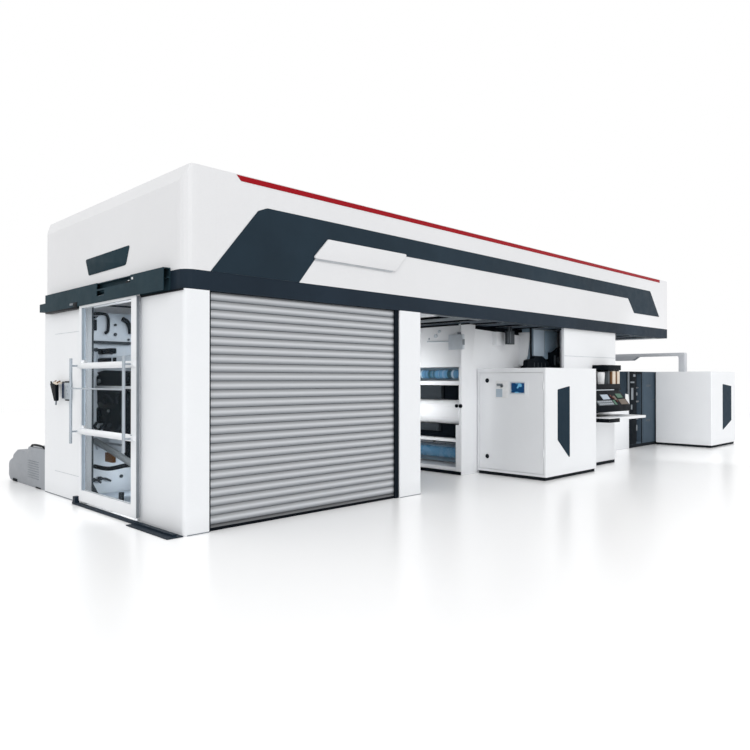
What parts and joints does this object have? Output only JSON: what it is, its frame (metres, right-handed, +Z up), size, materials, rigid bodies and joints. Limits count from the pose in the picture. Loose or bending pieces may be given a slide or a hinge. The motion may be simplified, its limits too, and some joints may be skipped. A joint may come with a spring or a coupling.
{
  "type": "flexographic printing press",
  "caption": "Enclosed flexographic printing press: print unit behind a glass door and roller shutters, web unit, console, cabinets and winder under one long hood.",
  "frame": {"origin": "on the floor, at the middle of the whole press's box", "axes": "+X along the press from the glazed end wall to the winder, +Y from the operator side to the rear, +Z up"},
  "size_m": [16.064, 6.7594, 4.108],
  "materials": {
    "white_paint": "satin powder coat",
    "slate_paint": "satin powder coat",
    "red_trim": "satin",
    "shutter_grey": "satin anodised slats",
    "black_parts": "semi-gloss",
    "frame_blue_grey": "satin enamel",
    "roller_steel": "ground",
    "handle_grey": "brushed",
    "door_glass": "clear safety glass",
    "duct_grey": "satin",
    "supply_grey": "matt",
    "film_blue": "wound film"
  },
  "bodies": {
    "press": {"hood_left_end": "white_paint", "hood_right_end": "white_paint", "hood_front_panel": "white_paint", "hood_rear_panel": "white_paint", "hood_roof": "white_paint", "band_front": "slate_paint", "band_rear": "slate_paint", "band_right": "slate_paint", "bridge_ladder": "white_paint", "graphic_front": "slate_paint", "graphic_rear": "slate_paint", "name_plate": "white_paint", "stripe_front": "red_trim", "corner_front": "white_paint", "corner_rear": "white_paint", "pillar_front": "white_paint", "pillar_rear": "white_paint", "shutter_front": "shutter_grey", "shutter_rear": "shutter_grey", "shutter_guide_front": "slate_paint", "shutter_guide_rear": "slate_paint", "door_track": "slate_paint", "floor_rail": "slate_paint", "control_box": "duct_grey", "tool_holder": "black_parts", "side_frame_front": "frame_blue_grey", "side_frame_rear": "frame_blue_grey", "impression_drum": "roller_steel", "print_deck_1": "black_parts", "print_deck_2": "black_parts", "print_deck_3": "black_parts", "print_deck_4": "black_parts", "print_deck_5": "black_parts", "print_deck_6": "black_parts", "print_deck_7": "black_parts", "print_deck_8": "black_parts", "web_frame_front": "white_paint", "web_frame_rear": "white_paint", "web_covers": "white_paint", "drying_tunnel": "black_parts", "cabinet_middle": "white_paint", "cabinet_middle_inlay": "slate_paint", "cabinet_right": "white_paint", "cabinet_right_inlay": "slate_paint", "console_column": "white_paint", "console_booth": "slate_paint", "console_panel": "black_parts", "console_desk": "white_paint", "blower_housing": "black_parts", "supply_duct": "duct_grey", "winder": "slate_paint", "low_housing": "white_paint", "cable_duct": "duct_grey", "supply_unit": "supply_grey"},
    "sliding_door": {"door_leaf": "white_paint", "door_glass": "door_glass", "door_handles": "handle_grey"},
    "cabinet_door": {"cabinet_door": "white_paint"},
    "upper_roller": {"web_roller_upper": "film_blue"},
    "lower_roller": {"web_roller_lower": "film_blue"}
  },
  "joints": [
    {"name": "door_slide", "type": "slide", "parent": "press", "child": "sliding_door", "axis": [0, -1, 0], "range_m": [0, 0.9]},
    {"name": "cabinet_door_hinge", "type": "hinge", "parent": "press", "child": "cabinet_door", "pos_m": [-1.484, -3.23265, 0.97], "axis": [0, 0, 1], "range_deg": [0, 110]},
    {"name": "upper_roller_spin", "type": "hinge", "parent": "press", "child": "upper_roller", "pos_m": [-1.683, -0.49765, 1.8125], "axis": [0, 1, 0], "continuous": true},
    {"name": "lower_roller_spin", "type": "hinge", "parent": "press", "child": "lower_roller", "pos_m": [-1.663, -0.49765, 0.3555], "axis": [0, 1, 0], "continuous": true}
  ]
}
